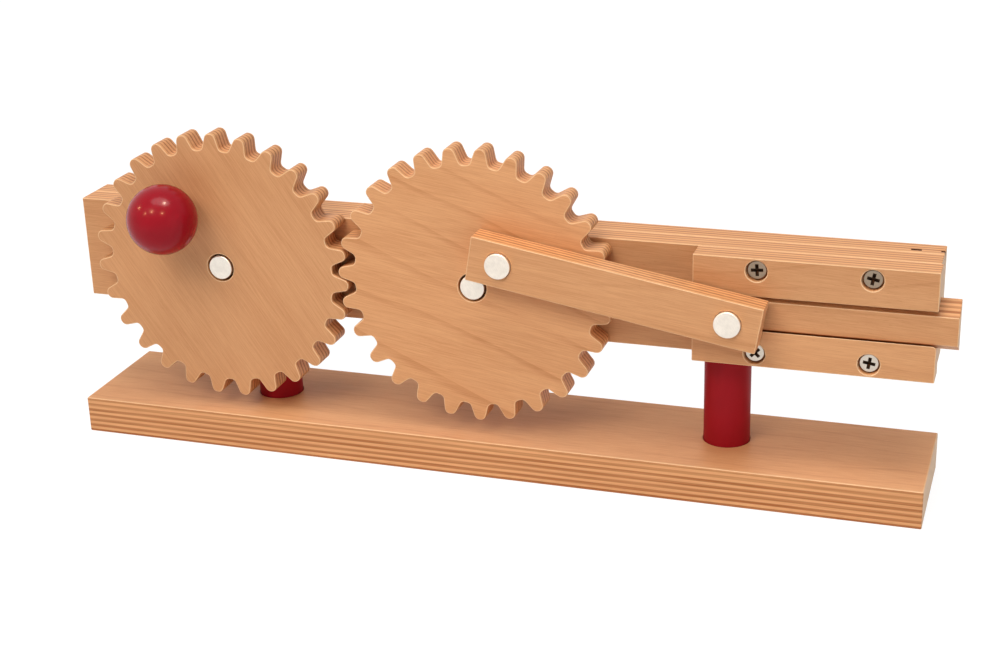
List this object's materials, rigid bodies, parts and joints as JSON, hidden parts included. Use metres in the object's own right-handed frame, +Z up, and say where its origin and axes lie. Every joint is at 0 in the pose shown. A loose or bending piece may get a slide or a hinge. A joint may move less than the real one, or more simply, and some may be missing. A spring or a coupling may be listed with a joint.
{
  "type": "mechanical motion model",
  "caption": "Wooden hand-cranked model on a plank: meshed gears drive a crank pin and a connecting rod that slides a dovetail bar between two guide rails.",
  "frame": {"origin": "centre of the base board's underside, on the surface that the model stands on", "axes": "+Z up, +X along the base towards the slider's free end, -Y towards the side with the gears"},
  "size_m": [0.4219, 0.0907, 0.1564],
  "materials": {
    "base_ply": "clear satin lacquer",
    "beam_ply": "clear satin lacquer",
    "rail_ply": "clear satin lacquer",
    "gear_ply": "clear satin lacquer",
    "rod_ply": "clear satin lacquer",
    "red_post": "dark red satin paint",
    "knob_paint": "red gloss paint",
    "pin_metal": "fine turned ends",
    "screw_steel": "plated cross-head screw"
  },
  "bodies": {
    "frame": {"base_board": "base_ply", "left_post": "red_post", "right_post": "red_post", "beam_front_board": "beam_ply", "beam_rear_board": "beam_ply", "upper_rail": "rail_ply", "lower_rail": "rail_ply", "rail_screw_upper_left": "screw_steel", "rail_screw_upper_right": "screw_steel", "rail_screw_lower_left": "screw_steel", "rail_screw_lower_right": "screw_steel", "drive_axle": "pin_metal", "crank_axle": "pin_metal"},
    "drive_gear_body": {"drive_gear": "gear_ply", "knob_ball": "knob_paint", "knob_stem": "knob_paint"},
    "crank_gear_body": {"crank_gear": "gear_ply", "crank_pin": "pin_metal"},
    "rod_body": {"connecting_rod": "rod_ply", "wrist_pin": "pin_metal"},
    "slider_body": {"slider_bar": "rail_ply"}
  },
  "joints": [
    {"name": "drive_gear_spin", "type": "hinge", "parent": "frame", "child": "drive_gear_body", "pos_m": [-0.1287, -0.01715, 0.09], "axis": [0, 1, 0], "continuous": true},
    {"name": "crank_gear_spin", "type": "hinge", "parent": "frame", "child": "crank_gear_body", "pos_m": [-0.0019, -0.01715, 0.0909], "axis": [0, 1, 0], "continuous": true},
    {"name": "rod_turn", "type": "hinge", "parent": "crank_gear_body", "child": "rod_body", "pos_m": [0.01508, -0.03015, 0.10729], "axis": [0, 1, 0], "continuous": true},
    {"name": "slider_slide", "type": "slide", "parent": "frame", "child": "slider_body", "axis": [1, 0, 0], "range_m": [-0.039, 0.0081]}
  ],
  "couplings": [
    {"joint": "crank_gear_spin", "follows": "drive_gear_spin", "ratio": -1},
    {"joint": "rod_turn", "follows": "drive_gear_spin", "ratio": 1}
  ]
}
